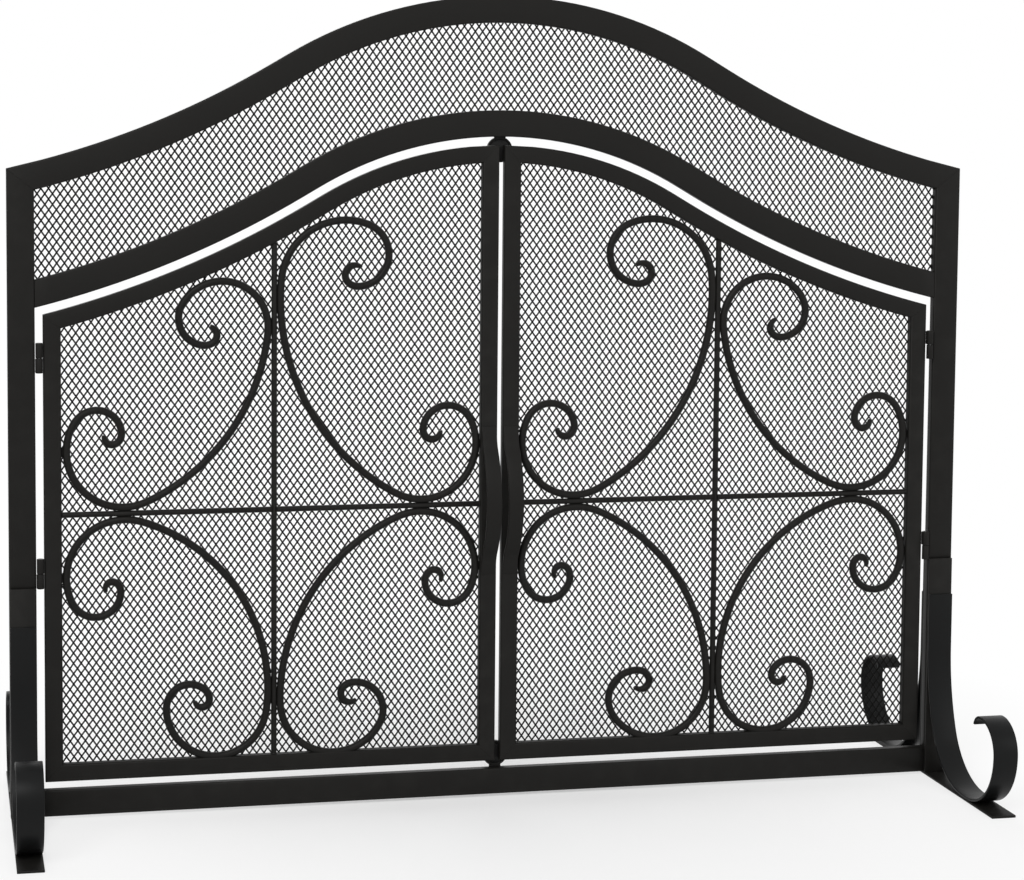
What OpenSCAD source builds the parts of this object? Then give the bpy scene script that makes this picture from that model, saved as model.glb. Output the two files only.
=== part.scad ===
// Free-standing fireplace safety gate with two hinged mesh doors.
// +X runs to the viewer's right, +Y into the hearth and +Z up. The origin lies on the floor,
// halfway between the stiles and in the middle of the frame's depth. Lengths are in millimetres.

/* [Overall frame] */
// Width over both stiles
frame_w = 965; // [900:5:1040]
// Height of the crown of the top rail above the floor
frame_h = 798; // [770:1:840]
// Face width of the outer frame's tube
tube_face = 26; // [22:0.5:30]
// Front-to-back depth of the outer frame's tube
tube_depth = 10; // [9:0.5:16]
// Wall of every frame tube
tube_wall = 1.2; // [1:0.1:2]

/* [Arch shape] */
// Radius of the top rail's crown, on its upper edge
crown_r = 415; // [390:1:440]
// Half angle of the crown arc
crown_angle = 30.3; // [28:0.1:32]
// Straight slope between the crown and the shoulder
slope_len = 26; // [10:1:40]
// Radius of the sagging shoulder, on the top rail's upper edge
shoulder_r = 882; // [800:2:960]
// Distance from the top rail's crown down to the lower arch rail's crown
arch_drop = 111.5; // [100:0.5:125]
// Radius of the lower arch rail's crown, on its upper edge
lower_crown_r = 385; // [370:1:400]
// Straight slope of the lower arch rail
lower_slope_len = 20; // [10:1:40]
// Radius of the lower arch rail's shoulder, on its upper edge
lower_shoulder_r = 946; // [880:2:1000]

/* [Doors] */
// Face width of the door frame's tube
door_face = 17; // [14:0.5:19]
// Gap between a stile and the door hung on it
side_gap = 7.5; // [7:0.1:9]
// Gap between the two closed doors
centre_gap = 5.2; // [4:0.1:8]
// Gap between the bottom rail and the doors
sill_gap = 8; // [5:0.5:12]
// Gap between the lower arch rail and the doors
head_gap = 8.4; // [6:0.2:12]
// How far the door's rear face stands in front of the frame's rear face
catch_gap = 0.4; // [0.3:0.1:0.8]
// Opening angle of each door
door_open = 90; // [60:5:90]

/* [Door ornament] */
// Diameter of the scrolls' round bar
scroll_d = 7; // [6:0.5:8]
// Diameter of the straight bars
bar_d = 5; // [4:0.5:6]
// Height of the horizontal bar's centre above the floor
bar_z = 296.5; // [280:0.5:310]
// Distance of the bars' centres in front of the frame's middle
bar_forward = 0.9; // [0.5:0.1:1.2]
// Play left where two welded pieces meet
weld_gap = 0.1; // [0.05:0.05:0.2]

/* [Wire mesh] */
// Thickness of the mesh sheet
mesh_t = 1.5; // [1:0.1:1.6]
// Distance of the mesh sheet's rear face in front of the frame's rear face
mesh_inset = 0.8; // [0.7:0.1:1]
// Width of one diamond opening, wire included
net_w = 52; // [48:1:70]
// Height of one diamond opening, wire included
net_h = 73; // [68:1:98]
// Width of a wire strand
net_wire = 3; // [2:0.5:5]
// Width of the mesh sheet's edge strip
net_edge = 4; // [3:0.5:8]

/* [Handles] */
// Height of the handles' middle above the floor
handle_z = 300; // [280:1:320]
// Width of the handle's flat bar
handle_w = 15; // [12:0.5:17]
// Thickness of the handle's flat bar
handle_t = 3; // [2:0.5:4]
// Radius of the bow of the handle
handle_bow_r = 82; // [76:1:90]
// Radius of the sweep at each end of the bow
handle_end_r = 30; // [24:1:36]
// Turn of the sweep at each end of the bow
handle_turn = 37.4; // [34:0.2:40]
// Length of the flat pad welded to the stile at each end
handle_pad = 6; // [4:0.5:12]

/* [Hinges] */
// Outside diameter of the hinge barrels
barrel_d = 6.9; // [6:0.1:6.9]
// Diameter of the hinge pins
pin_d = 3; // [2.5:0.1:3.4]
// Radial play of the pins in the barrels
pin_play = 0.05; // [0.02:0.01:0.1]
// Height of one whole hinge barrel
barrel_h = 29; // [24:1:36]
// Play between the two halves of a barrel
barrel_split = 0.3; // [0.2:0.1:0.5]
// Closed end of each barrel half
barrel_cap = 2; // [1.5:0.5:3]
// Distance of the hinge axis in front of the frame's front face
hinge_forward = 1; // [0.6:0.1:1.4]
// Height of the lower hinges' bottom above the floor
low_hinge_z = 226.5; // [180:0.5:260]
// Distance from the lower arch rail down to the upper hinges
hinge_drop = 33.3; // [20:0.1:80]

/* [Feet] */
// Width of the feet's flat bars
foot_w = 25; // [20:0.5:26]
// Thickness of the feet's flat bars
foot_t = 2.5; // [2:0.1:3]
// Height of the backing plates' top above the floor
plate_top = 227; // [215:1:260]
// Height of the scroll strips' top above the floor
strip_top = 190; // [180:1:210]
// Radius of the strip where it leaves the stile, on its outer side
leave_r = 220; // [180:2:240]
// Turn of that first arc
leave_turn = 22; // [18:1:26]
// Radius of the strip where it comes down to the floor, on its outer side
sole_r = 76; // [60:1:84]
// Length of the strip that lies flat on the floor
sole_len = 9; // [4:1:16]
// How far the base bars' ends stay behind the rings' foremost points
base_short = 1.5; // [0:0.5:12]
// Radius of the foot's ring, on its outer side
ring_r = 58.5; // [50:0.5:64]
// Radius of the ring's top, on its outer side
hook_r = 32; // [28:0.5:38]
// Turn of the ring's top
hook_turn = 95; // [80:1:110]
// Radius of the hooked tip, on its outer side
tip_r = 14; // [10:0.5:18]
// Turn of the hooked tip
tip_turn = 70; // [40:1:90]
// Shank diameter of the screws that clamp the feet to the stiles
screw_d = 5; // [4:0.5:6]
// Head diameter of those screws
screw_head_d = 9; // [8:0.5:11]
// Head height of those screws
screw_head_h = 2.6; // [2:0.1:4]
// Height of the lower screws above the floor
low_screw_z = 148; // [140:1:156]
// Distance between the lower and the upper screws
screw_pitch = 28; // [20:1:32]

/* [Magnetic catches] */
// Diameter of a catch's round cup
cup_d = 25.4; // [22:0.2:28]
// Depth of the cup
cup_h = 6; // [5:0.5:9]
// Diameter of the magnet
magnet_d = 20; // [16:0.5:21]
// Thickness of the magnet
magnet_h = 4.5; // [3.5:0.5:4.5]
// Play round the magnet
magnet_play = 0.05; // [0.02:0.01:0.1]
// Width of the catch's tab
tab_w = 12; // [10:0.5:16]
// Thickness of the catch's tab
tab_t = 2; // [1.5:0.5:3]
// Length of the tab on the rail
tab_len = 20; // [14:1:22]
// Shank diameter of the catches' rivets
rivet_d = 3.2; // [2.4:0.2:4]
// Head diameter of those rivets
rivet_head_d = 6.4; // [5:0.2:8]
// Head height of those rivets
rivet_head_h = 1.4; // [1:0.1:2]

/* [Hidden] */
$fn = 96;
crown_steps = 12;
shoulder_steps = 7;
black = "#262524";
steel = "#9a9a9c";
hole_play = 0.05;
flat_turn = 15;
broad_turn = 5;
broad_bend = 100;
cut = 5;

half_w = frame_w / 2;
stile_in = half_w - tube_face;
front_y = -tube_depth / 2;
rear_y = tube_depth / 2;
rail_top = foot_t + tube_face;

// Each arch edge is [crown height, crown radius, crown half angle, slope length, shoulder radius].
top_edge = [frame_h, crown_r, crown_angle, slope_len, shoulder_r];
lower_edge = [frame_h - arch_drop, lower_crown_r, crown_angle, lower_slope_len, lower_shoulder_r];
function inset(e, d) = [e[0] - d, e[1] - d, e[2], e[3], e[4] + d];
function crown_x(e) = e[1] * sin(e[2]);
function crown_z(e) = e[0] - e[1] * (1 - cos(e[2]));
function shoulder_x(e) = crown_x(e) + e[3] * cos(e[2]);
function shoulder_z(e) = crown_z(e) - e[3] * sin(e[2]);
function shoulder_centre(e) = [shoulder_x(e) + e[4] * sin(e[2]), shoulder_z(e) + e[4] * cos(e[2])];
function shoulder_curve(e, x) =
    let (c = shoulder_centre(e))
    c[1] - sqrt(pow(e[4], 2) - pow(x - c[0], 2));
function edge_z(e, x) =
    abs(x) <= crown_x(e) ? e[0] - e[1] + sqrt(pow(e[1], 2) - pow(x, 2)) :
    abs(x) <= shoulder_x(e) ? crown_z(e) - (abs(x) - crown_x(e)) * tan(e[2]) :
    shoulder_curve(e, abs(x));

door_edge = inset(lower_edge, tube_face + head_gap);
door_inner_edge = inset(door_edge, door_face);
door_out = stile_in - side_gap;
door_in = centre_gap / 2;
door_sill = rail_top + sill_gap;
door_depth = tube_depth - catch_gap;

// The opening inside the left door's frame, and the upright bar halfway across the door.
bay_left = -door_out + door_face;
bay_right = -door_in - door_face;
bay_low = door_sill + door_face;
bar_x = -(door_out + door_in) / 2;
bar_y = -bar_forward;
mesh_rear = rear_y - mesh_inset;
touch = scroll_d / 2 + weld_gap;
bar_side = bar_d / 2 + touch;

// Scrolls of the left door as [heading at the upper curl's tip, arcs down to the lower curl], where an
// arc is [radius, turn]. All four are drawn as they lie on the outer side of the door.
upper_outer = [-15, [[9, 159], [27, 127], [45.5, 154], [204, 60], [55.5, 145], [24.5, 155], [8, 181]]];
upper_inner = [39, [[10, 211], [31.5, 165], [64, 108], [223.5, 66], [55, 146], [25.5, 153], [8.5, 183]]];
lower_outer = [122, [[6.5, 197], [24, 166], [55.5, 136], [176.5, 79], [49, 175], [22, 154], [7, 200]]];
lower_inner = [125, [[7.5, 201], [23.5, 168], [55.5, 138], [192.5, 67], [53, 147], [28.5, 138], [9, 210]]];

// The drawn scrolls are scaled to the room beside the bars, below them and under the door's arch.
function scroll_path(s, k) = [for (a = s[1]) [-a[0] * k, a[1]]];
function drawn(s, axis) = [for (q = fine_points(scroll_path(s, 1), [0, 0, s[0]])) q[axis]];
function drawn_span(s, axis) = max(drawn(s, axis)) - min(drawn(s, axis));
function head_scale(s, way) =
    let (xs = drawn(s, 0), zs = drawn(s, 1), right = max(xs), low = min(zs), middle = (low + max(zs)) / 2)
    min([for (i = [0 : len(xs) - 1]) if (zs[i] > middle)
        (edge_z(door_inner_edge, bar_x + way * (xs[i] - right - bar_side)) - head_touch - bar_z - bar_side)
            / (zs[i] - low)]);
head_touch = touch / cos(crown_angle);
side_room = bar_x - bar_side - bay_left - touch;
lower_room = bar_z - bar_side - bay_low - touch;
scroll_scale = min(
    side_room / max([for (s = [upper_outer, upper_inner, lower_outer, lower_inner]) drawn_span(s, 0)]),
    lower_room / max(drawn_span(lower_outer, 1), drawn_span(lower_inner, 1)),
    head_scale(upper_outer, 1),
    head_scale(upper_inner, -1)
);

hinge_x = stile_in - side_gap / 2;
hinge_y = front_y - hinge_forward;
barrel_half = (barrel_h - barrel_split) / 2;
high_hinge_z = edge_z(inset(lower_edge, tube_face), stile_in) - hinge_drop - barrel_h;
hinge_zs = [low_hinge_z, high_hinge_z];

plate_y = front_y - foot_t;
strip_y = plate_y - foot_t;
foot_x = half_w - tube_face / 2;
strip_mid = foot_t / 2;
leave_z = leave_r * sin(leave_turn) + sole_r * (1 - sin(leave_turn));
leave_reach = leave_r * (1 - cos(leave_turn)) + sole_r * cos(leave_turn);
base_half = -plate_y + leave_reach + sole_len + ring_r - base_short;
screw_zs = [low_screw_z, low_screw_z + screw_pitch];

upper_cup_z = edge_z(inset(lower_edge, tube_face), 0) - cup_d / 2;
lower_cup_z = rail_top + cup_d / 2;

// A path is a list of [radius, turn]: a positive radius bends left, a negative one right, and a
// radius of 0 runs straight for the second number's length.
function step_end(s, p) =
    s[0] == 0 ? [p[0] + s[1] * cos(p[2]), p[1] + s[1] * sin(p[2]), p[2]] :
    let (h = p[2] + sign(s[0]) * s[1])
    [p[0] + s[0] * (sin(h) - sin(p[2])), p[1] - s[0] * (cos(h) - cos(p[2])), h];
function path_points(path, p, i = 0) =
    i == len(path) ? [p] : concat([p], path_points(path, step_end(path[i], p), i + 1));
function fine_points(path, p) =
    let (starts = path_points(path, p))
    [for (i = [0 : len(path) - 1], t = [0 : 2 : path[i][1]]) step_end([path[i][0], t], starts[i])];

// The points that one step of a path needs, with its end left to the next step.
function fine_steps(s, p) =
    s[0] == 0 ? [p] :
    let (n = ceil(s[1] / (abs(s[0]) > broad_bend ? broad_turn : flat_turn)))
    [for (i = [0 : n - 1]) step_end([s[0], s[1] * i / n], p)];

// The points that a bent bar's surface follows along a path, each as [x, y, heading].
function bend_line(path, p) =
    let (starts = path_points(path, p))
    concat([for (i = [0 : len(path) - 1]) each fine_steps(path[i], starts[i])], [starts[len(path)]]);

// Round bar bent along a path of arcs, as one eight-sided sweep.
module bent_round_bar(path, p, d) {
    line = bend_line(path, p);
    n = 8;
    r = d / 2 / cos(180 / n);
    points = [for (q = line, k = [0 : n - 1])
        let (a = (k + 0.5) * 360 / n)
        [q[0] - r * cos(a) * sin(q[2]), q[1] + r * cos(a) * cos(q[2]), r * sin(a)]];
    last = (len(line) - 1) * n;
    polyhedron(points, concat(
        [[for (k = [0 : n - 1]) k]],
        [for (i = [0 : len(line) - 2], k = [0 : n - 1])
            [i * n + k, (i + 1) * n + k, (i + 1) * n + (k + 1) % n, i * n + (k + 1) % n]],
        [[for (k = [n - 1 : -1 : 0]) last + k]]
    ));
}

// Flat bar bent along a path, as one outline of short flats, t thick and w wide.
module bent_flat_bar(path, p, t, w) {
    line = bend_line(path, p);
    left = [for (q = line) [q[0] - t / 2 * sin(q[2]), q[1] + t / 2 * cos(q[2])]];
    right = [for (q = line) [q[0] + t / 2 * sin(q[2]), q[1] - t / 2 * cos(q[2])]];
    last = len(line) - 1;
    translate([0, 0, -w / 2]) linear_extrude(w)
        polygon(concat(left, [for (i = [last : -1 : 0]) right[i]]));
}

// Stands an XY drawing up in the XZ plane, from y0 towards the rear by depth.
module upright(y0, depth) {
    translate([0, y0 + depth, 0]) rotate([90, 0, 0]) linear_extrude(depth) children();
}

// Turns a drawing so that its X is the gate's Y and its Y is the gate's Z.
module side_on() {
    rotate([90, 0, 90]) children();
}

module both_ways() {
    children();
    mirror([1, 0, 0]) children();
}

module mirrored(flip) {
    mirror([flip ? 1 : 0, 0, 0]) children();
}

// Half of an arch edge, from the crown out to x = reach, in short chords.
function half_edge(e, reach) =
    let (c = shoulder_centre(e), last = asin((c[0] - reach) / e[4]))
    concat(
        [for (i = [0 : crown_steps]) let (a = e[2] * i / crown_steps)
            [e[1] * sin(a), e[0] - e[1] * (1 - cos(a))]],
        [for (i = [0 : shoulder_steps]) let (a = e[2] + (last - e[2]) * i / shoulder_steps)
            [c[0] - e[4] * sin(a), c[1] - e[4] * cos(a)]]
    );
function left_to_right(half) = concat(
    [for (i = [len(half) - 1 : -1 : 1]) [-half[i][0], half[i][1]]],
    half
);
function right_to_left(half) = concat(
    [for (i = [len(half) - 1 : -1 : 1]) half[i]],
    [for (q = half) [-q[0], q[1]]]
);

// Everything below an arch edge, down to low and out to x = reach on both sides.
module under_edge(e, reach, low) {
    polygon(concat([[reach, low], [-reach, low]], left_to_right(half_edge(e, reach))));
}

// The band between an arch edge lowered by near and the same edge lowered by far.
module arch_band(e, near, far, reach) {
    polygon(concat(
        left_to_right(half_edge(inset(e, near), reach)),
        right_to_left(half_edge(inset(e, far), reach))
    ));
}

// Corners where an upright tube meets a curved rail, as [outer, inner].
function joint_corners(e, x_out, x_in, face) = [
    [x_out, edge_z(e, x_out)],
    [x_in, edge_z(inset(e, face), x_in)]
];
function joint_slope(c) = (c[0][1] - c[1][1]) / (c[0][0] - c[1][0]);

// Outline of an upright tube, whose top is cut along the mitre and whose foot is at low_out and low_in.
module upright_outline(c, low_out, low_in) {
    polygon([[c[0][0], low_out], c[0], c[1], [c[1][0], low_in]]);
}

// The same mitre as a cutter: what lies under it belongs to the upright.
module mitre_cutter(c, low) {
    side = c[0][0] > c[1][0] ? cut : -cut;
    far_x = c[0][0] + side;
    polygon([[far_x, low], [far_x, c[0][1] + side * joint_slope(c)], c[1], [c[1][0], low]]);
}

stile_joint = joint_corners(top_edge, half_w, stile_in, tube_face);
door_outer_joint = joint_corners(door_edge, -door_out, bay_left, door_face);
door_inner_joint = joint_corners(door_edge, -door_in, bay_right, door_face);

module stile(flip) {
    color(black) mirrored(flip) difference() {
        upright(front_y, tube_depth) upright_outline(stile_joint, foot_t, foot_t);
        upright(front_y + tube_wall, tube_depth - 2 * tube_wall)
            translate([stile_in + tube_wall, 0]) square([tube_face - 2 * tube_wall, frame_h]);
        for (z = screw_zs)
            translate([foot_x, 0, z]) rotate([90, 0, 0])
                cylinder(d = screw_d + 2 * hole_play, h = 2 * tube_depth, center = true);
    }
}

module top_arch_rail() {
    color(black) difference() {
        upright(front_y, tube_depth) difference() {
            arch_band(top_edge, 0, tube_face, half_w);
            both_ways() mitre_cutter(stile_joint, 0);
        }
        upright(front_y + tube_wall, tube_depth - 2 * tube_wall)
            arch_band(top_edge, tube_wall, tube_face - tube_wall, half_w + cut);
    }
}

module lower_arch_rail() {
    color(black) difference() {
        upright(front_y, tube_depth) arch_band(lower_edge, 0, tube_face, stile_in);
        upright(front_y + tube_wall, tube_depth - 2 * tube_wall)
            arch_band(lower_edge, tube_wall, tube_face - tube_wall, stile_in + cut);
        catch_rivet_hole(upper_cup_z + cup_d / 2 + tab_len / 2);
    }
}

module bottom_rail() {
    color(black) difference() {
        upright(front_y, tube_depth)
            translate([-stile_in, foot_t]) square([2 * stile_in, tube_face]);
        upright(front_y + tube_wall, tube_depth - 2 * tube_wall)
            translate([-stile_in - cut, foot_t + tube_wall])
                square([2 * (stile_in + cut), tube_face - 2 * tube_wall]);
        catch_rivet_hole(lower_cup_z - cup_d / 2 - tab_len / 2);
    }
}

// A field of diamonds that covers x_a to x_b and z_a to z_b.
module diamonds(x_a, x_b, z_a, z_b) {
    w = net_w / 2 - net_wire * net_w / net_h;
    h = net_h / 2 - net_wire * net_h / net_w;
    columns = ceil((x_b - x_a) / net_w);
    rows = ceil((z_b - z_a) / net_h);
    for (i = [0 : columns], j = [0 : rows], k = [0, 1])
        translate([x_a + (i + k / 2) * net_w, z_a + (j + k / 2) * net_h])
            polygon([[-w, 0], [0, -h], [w, 0], [0, h]]);
}

module upper_bay(d) {
    reach = stile_in - d;
    polygon(concat(
        left_to_right(half_edge(inset(top_edge, tube_face + d), reach)),
        right_to_left(half_edge(inset(lower_edge, -d), reach))
    ));
}

module upper_mesh_panel() {
    low = edge_z(lower_edge, stile_in);
    color(black) upright(mesh_rear - mesh_t, mesh_t) difference() {
        upper_bay(weld_gap);
        intersection() {
            upper_bay(weld_gap + net_edge);
            diamonds(-half_w, half_w, low, frame_h);
        }
    }
}

module door_bay(d) {
    intersection() {
        under_edge(inset(door_inner_edge, d), door_out, 0);
        translate([bay_left + d, bay_low + d]) square([bay_right - bay_left - 2 * d, frame_h]);
    }
}

module door_mesh_panel(flip) {
    color(black) mirrored(flip) upright(mesh_rear - mesh_t, mesh_t) difference() {
        door_bay(weld_gap);
        intersection() {
            door_bay(weld_gap + net_edge);
            diamonds(bay_left, bay_right, bay_low, edge_z(door_inner_edge, bay_right));
        }
    }
}

module foot_base(flip) {
    color(black) mirrored(flip) translate([foot_x - foot_w / 2, -base_half, 0])
        cube([foot_w, 2 * base_half, foot_t]);
}

module foot_screw_holes() {
    for (z = screw_zs)
        translate([foot_x, 0, z]) rotate([90, 0, 0])
            cylinder(d = screw_d + 2 * hole_play, h = -2 * strip_y + 2 * cut, center = true);
}

// A foot's scroll strip, drawn in front of the right stile. It stands on the base bar.
module foot_scroll(flip, rear) {
    path = [
        [0, strip_top - foot_t - leave_z],
        [-leave_r + strip_mid, leave_turn],
        [-sole_r + strip_mid, 90 - leave_turn],
        [0, sole_len],
        [-ring_r + strip_mid, 90],
        [-hook_r + strip_mid, hook_turn],
        [-tip_r + strip_mid, tip_turn]
    ];
    color(black) mirrored(flip) mirror([0, rear ? 1 : 0, 0]) difference() {
        translate([foot_x, 0, 0]) side_on()
            bent_flat_bar(path, [strip_y + strip_mid, strip_top, -90], foot_t, foot_w);
        if (rear) foot_screw_holes();
    }
}

module foot_plate(flip, rear) {
    color(black) mirrored(flip) mirror([0, rear ? 1 : 0, 0]) difference() {
        translate([foot_x - foot_w / 2, plate_y, foot_t]) cube([foot_w, foot_t, plate_top - foot_t]);
        foot_screw_holes();
    }
}

module foot_screws() {
    color(black) both_ways() for (z = screw_zs)
        translate([foot_x, 0, z]) {
            translate([0, -strip_y, 0]) rotate([-90, 0, 0]) cylinder(d = screw_head_d, h = screw_head_h);
            translate([0, plate_y + hole_play, 0]) rotate([-90, 0, 0])
                cylinder(d = screw_d, h = -plate_y - strip_y - hole_play);
        }
}

module catch_rivet_hole(z) {
    translate([0, rear_y, z]) rotate([90, 0, 0])
        cylinder(d = rivet_d + 2 * hole_play, h = 2 * (tube_wall + tab_t) + 1, center = true);
}

// A catch with its cup centred at z. The tab goes up for side = 1 and down for side = -1.
module catch_cup(z, side) {
    tab_z = z + side * cup_d / 2 + (side > 0 ? 0 : -tab_len);
    web_z = side > 0 ? z : z - cup_d / 2;
    color(black) difference() {
        union() {
            translate([0, rear_y, z]) rotate([-90, 0, 0]) cylinder(d = cup_d, h = cup_h);
            translate([-tab_w / 2, rear_y, tab_z]) cube([tab_w, tab_t, tab_len]);
            translate([-tab_w / 2, rear_y, web_z]) cube([tab_w, tab_t, cup_d / 2]);
        }
        translate([0, rear_y - 1, z]) rotate([-90, 0, 0])
            cylinder(d = magnet_d + 2 * magnet_play, h = magnet_h + 1);
        catch_rivet_hole(z + side * (cup_d + tab_len) / 2);
    }
}

module catch_magnet(z) {
    color(steel) translate([0, rear_y, z]) rotate([-90, 0, 0]) cylinder(d = magnet_d, h = magnet_h);
}

module catch_rivets() {
    shank = tab_t + tube_wall + 1;
    color(black) for (z = [upper_cup_z + (cup_d + tab_len) / 2, lower_cup_z - (cup_d + tab_len) / 2])
        translate([0, rear_y + tab_t, z]) {
            rotate([-90, 0, 0]) cylinder(d = rivet_head_d, h = rivet_head_h);
            rotate([90, 0, 0]) cylinder(d = rivet_d, h = shank);
        }
}

// Half a hinge barrel on the right hinge line, with its weld to the neighbour on one side.
module barrel(z, closed_low, side) {
    reach = side_gap / 2 - weld_gap;
    bore_z = closed_low ? z + barrel_cap : z - 1;
    difference() {
        union() {
            translate([hinge_x, hinge_y, z]) cylinder(d = barrel_d, h = barrel_half);
            translate([side > 0 ? hinge_x : hinge_x - reach, hinge_y, z])
                cube([reach, barrel_d / 2 - 0.5, barrel_half]);
        }
        translate([hinge_x, hinge_y, bore_z])
            cylinder(d = pin_d + 2 * pin_play, h = barrel_half - barrel_cap + 1);
    }
}

module frame_hinge_barrels(flip) {
    color(black) mirrored(flip) for (z = hinge_zs) barrel(z, true, 1);
}

module door_hinge_barrels(flip) {
    color(black) mirrored(flip) for (z = hinge_zs)
        barrel(z + barrel_half + barrel_split, false, -1);
}

module hinge_pins(flip) {
    color(steel) mirrored(flip) for (z = hinge_zs)
        translate([hinge_x, hinge_y, z + barrel_cap])
            cylinder(d = pin_d, h = barrel_h - 2 * barrel_cap - barrel_split);
}

module door_outer_stile(flip) {
    color(black) mirrored(flip) difference() {
        upright(front_y, door_depth) upright_outline(door_outer_joint, door_sill, bay_low);
        upright(front_y + tube_wall, door_depth - 2 * tube_wall)
            translate([-door_out + tube_wall, 0]) square([door_face - 2 * tube_wall, frame_h]);
    }
}

module door_inner_stile(flip) {
    color(black) mirrored(flip) difference() {
        upright(front_y, door_depth) upright_outline(door_inner_joint, door_sill, bay_low);
        upright(front_y + tube_wall, door_depth - 2 * tube_wall)
            translate([bay_right + tube_wall, 0]) square([door_face - 2 * tube_wall, frame_h]);
    }
}

module door_top_rail(flip) {
    color(black) mirrored(flip) difference() {
        upright(front_y, door_depth) difference() {
            intersection() {
                arch_band(door_edge, 0, door_face, door_out);
                translate([-door_out, 0]) square([door_out - door_in, frame_h]);
            }
            mitre_cutter(door_outer_joint, 0);
            mitre_cutter(door_inner_joint, 0);
        }
        upright(front_y + tube_wall, door_depth - 2 * tube_wall)
            arch_band(door_edge, tube_wall, door_face - tube_wall, door_out + cut);
    }
}

module door_bottom_rail(flip) {
    color(black) mirrored(flip) difference() {
        upright(front_y, door_depth) polygon([
            [-door_out, door_sill],
            [-door_in, door_sill],
            [bay_right, bay_low],
            [bay_left, bay_low]
        ]);
        upright(front_y + tube_wall, door_depth - 2 * tube_wall)
            translate([-door_out, door_sill + tube_wall])
                square([door_out - door_in, door_face - 2 * tube_wall]);
    }
}

module door_vertical_bar(flip) {
    color(black) mirrored(flip) intersection() {
        translate([bar_x, bar_y, bay_low + weld_gap]) cylinder(d = bar_d, h = frame_h);
        upright(-tube_depth, 2 * tube_depth) under_edge(inset(door_inner_edge, weld_gap), door_out, 0);
    }
}

module door_horizontal_bar(flip) {
    left = bay_left + weld_gap;
    reach = bar_x - bar_d / 2 - weld_gap - left;
    color(black) mirrored(flip) for (x = [left, bar_x + bar_d / 2 + weld_gap])
        translate([x, bar_y, bar_z]) rotate([0, 90, 0]) cylinder(d = bar_d, h = reach);
}

// A scroll of the left door, drawn left of the upright bar and mirrored across it for an inner one.
// It rests against the upright bar and against the horizontal bar, above or below it.
module scroll(s, outer, upper) {
    xs = drawn(s, 0) * scroll_scale;
    zs = drawn(s, 1) * scroll_scale;
    z0 = upper ? bar_z + bar_side - min(zs) : bar_z - bar_side - max(zs);
    translate([bar_x, bar_y, 0]) mirror([outer ? 0 : 1, 0, 0])
        translate([-bar_side - max(xs), 0, z0]) rotate([90, 0, 0])
            bent_round_bar(scroll_path(s, scroll_scale), [0, 0, s[0]], scroll_d);
}

module scroll_upper_outer(flip) {
    color(black) mirrored(flip) scroll(upper_outer, true, true);
}

module scroll_upper_inner(flip) {
    color(black) mirrored(flip) scroll(upper_inner, false, true);
}

module scroll_lower_outer(flip) {
    color(black) mirrored(flip) scroll(lower_outer, true, false);
}

module scroll_lower_inner(flip) {
    color(black) mirrored(flip) scroll(lower_inner, false, false);
}

// A handle on the left door's inner stile: flat pads at both ends and a bow in between.
module door_handle(flip) {
    half = (handle_bow_r + handle_end_r) * sin(handle_turn) + handle_pad;
    path = [
        [0, handle_pad],
        [handle_end_r, handle_turn],
        [-handle_bow_r, 2 * handle_turn],
        [handle_end_r, handle_turn],
        [0, handle_pad]
    ];
    color(black) mirrored(flip) translate([-door_in - door_face / 2, 0, 0]) side_on()
        bent_flat_bar(path, [front_y - handle_t / 2, handle_z - half, 90], handle_t, handle_w);
}

stile(true);  // left_stile
stile(false);  // right_stile
top_arch_rail();
lower_arch_rail();
bottom_rail();
upper_mesh_panel();
foot_base(true);  // left_foot_base
foot_base(false);  // right_foot_base
foot_scroll(true, false);  // left_front_foot_scroll
foot_scroll(false, false);  // right_front_foot_scroll
foot_scroll(true, true);  // left_rear_foot_scroll
foot_scroll(false, true);  // right_rear_foot_scroll
foot_plate(true, false);  // left_front_foot_plate
foot_plate(false, false);  // right_front_foot_plate
foot_plate(true, true);  // left_rear_foot_plate
foot_plate(false, true);  // right_rear_foot_plate
foot_screws();
catch_cup(upper_cup_z, 1);  // upper_catch_cup
catch_cup(lower_cup_z, -1);  // lower_catch_cup
catch_magnet(upper_cup_z);  // upper_catch_magnet
catch_magnet(lower_cup_z);  // lower_catch_magnet
catch_rivets();
frame_hinge_barrels(true);  // left_frame_hinge_barrels
frame_hinge_barrels(false);  // right_frame_hinge_barrels
hinge_pins(true);  // left_hinge_pins
hinge_pins(false);  // right_hinge_pins
door_outer_stile(false);  // left_door_outer_stile
door_inner_stile(false);  // left_door_inner_stile
door_top_rail(false);  // left_door_top_rail
door_bottom_rail(false);  // left_door_bottom_rail
door_mesh_panel(false);  // left_door_mesh_panel
door_vertical_bar(false);  // left_door_vertical_bar
door_horizontal_bar(false);  // left_door_horizontal_bar
scroll_upper_outer(false);  // left_door_scroll_upper_outer
scroll_upper_inner(false);  // left_door_scroll_upper_inner
scroll_lower_outer(false);  // left_door_scroll_lower_outer
scroll_lower_inner(false);  // left_door_scroll_lower_inner
door_handle(false);  // left_door_handle
door_hinge_barrels(true);  // left_door_hinge_barrels
door_outer_stile(true);  // right_door_outer_stile
door_inner_stile(true);  // right_door_inner_stile
door_top_rail(true);  // right_door_top_rail
door_bottom_rail(true);  // right_door_bottom_rail
door_mesh_panel(true);  // right_door_mesh_panel
door_vertical_bar(true);  // right_door_vertical_bar
door_horizontal_bar(true);  // right_door_horizontal_bar
scroll_upper_outer(true);  // right_door_scroll_upper_outer
scroll_upper_inner(true);  // right_door_scroll_upper_inner
scroll_lower_outer(true);  // right_door_scroll_lower_outer
scroll_lower_inner(true);  // right_door_scroll_lower_inner
door_handle(true);  // right_door_handle
door_hinge_barrels(false);  // right_door_hinge_barrels
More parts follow.
